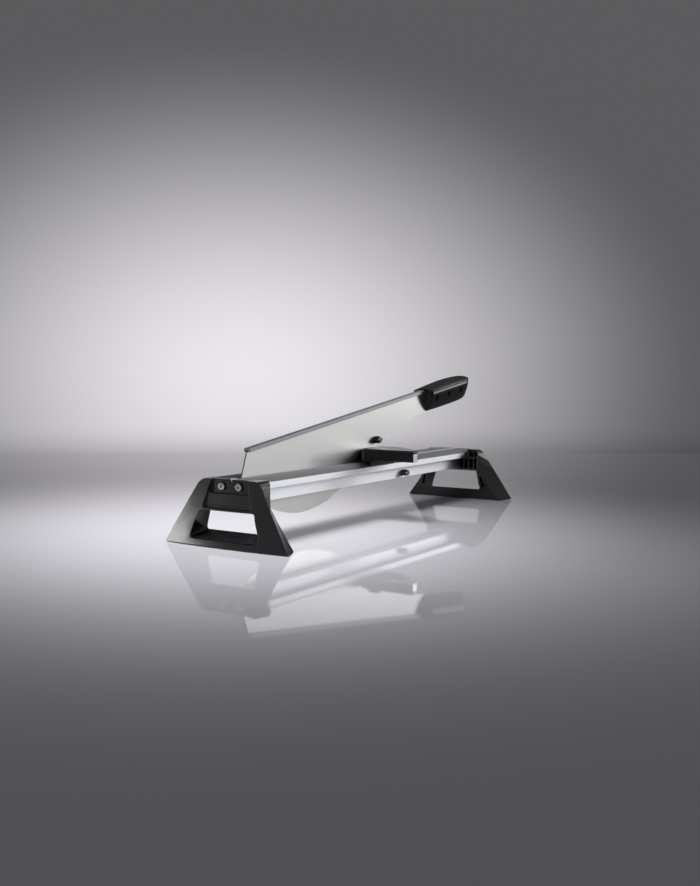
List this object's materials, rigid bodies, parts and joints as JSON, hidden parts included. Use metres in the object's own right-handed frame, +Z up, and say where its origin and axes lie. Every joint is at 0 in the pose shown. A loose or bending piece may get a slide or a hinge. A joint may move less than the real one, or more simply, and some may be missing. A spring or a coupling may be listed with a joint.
{
  "type": "laminate flooring guillotine",
  "caption": "Bench guillotine for laminate flooring: long lever blade with a curved belly, slotted aluminium rails, moulded feet and a swivelling fence.",
  "frame": {"origin": "centre of the overall box, on the ground plane under the pads", "axes": "+X runs along the rails from the hinge end to the handle end, +Z up, +Y to the side away from the fence"},
  "size_m": [0.665, 0.2038, 0.2165],
  "materials": {
    "black_plastic": "satin moulded black",
    "soft_black": "softer matt black",
    "rubber": "matt",
    "aluminium": "extruded, satin",
    "blade_steel": "ground satin",
    "zinc_steel": "bright zinc",
    "brass": "turned",
    "nylon": "natural nylon"
  },
  "bodies": {
    "base": {"foot_left": "black_plastic", "foot_right": "black_plastic", "pad_left_front": "rubber", "pad_left_rear": "rubber", "pad_right_front": "rubber", "pad_right_rear": "rubber", "foot_screw_left_front": "zinc_steel", "foot_screw_left_rear": "zinc_steel", "foot_screw_right_front": "zinc_steel", "foot_screw_right_rear": "zinc_steel", "rail_front": "aluminium", "rail_rear": "aluminium", "pivot_bolt": "zinc_steel", "pivot_nut": "zinc_steel", "pivot_washer_front": "nylon", "pivot_washer_rear": "nylon", "anchor_sleeve": "rubber", "anchor_screw": "zinc_steel", "fence_base": "black_plastic", "base_screw_1": "zinc_steel", "base_screw_2": "zinc_steel", "fence_screw": "zinc_steel", "fence_nut": "zinc_steel"},
    "lever": {"blade": "blade_steel", "pivot_bush": "brass", "spine": "aluminium", "grip_front": "black_plastic", "grip_rear": "black_plastic", "grip_cap": "soft_black", "grip_screw_1": "zinc_steel", "grip_screw_2": "zinc_steel", "grip_screw_3": "zinc_steel", "grip_nut_1": "zinc_steel", "grip_nut_2": "zinc_steel", "grip_nut_3": "zinc_steel", "stop_sleeve": "rubber", "stop_screw": "zinc_steel", "stop_nut": "zinc_steel"},
    "fence": {"fence_body": "black_plastic", "fence_bar": "aluminium"}
  },
  "joints": [
    {"name": "lever_hinge", "type": "hinge", "parent": "base", "child": "lever", "pos_m": [-0.26772, 0, 0.069], "axis": [0, -1, 0], "range_deg": [-0.9, 45]},
    {"name": "fence_swivel", "type": "hinge", "parent": "base", "child": "fence", "pos_m": [-0.00972, -0.011, 0.098], "axis": [0, 0, -1], "range_deg": [0, 45]}
  ]
}
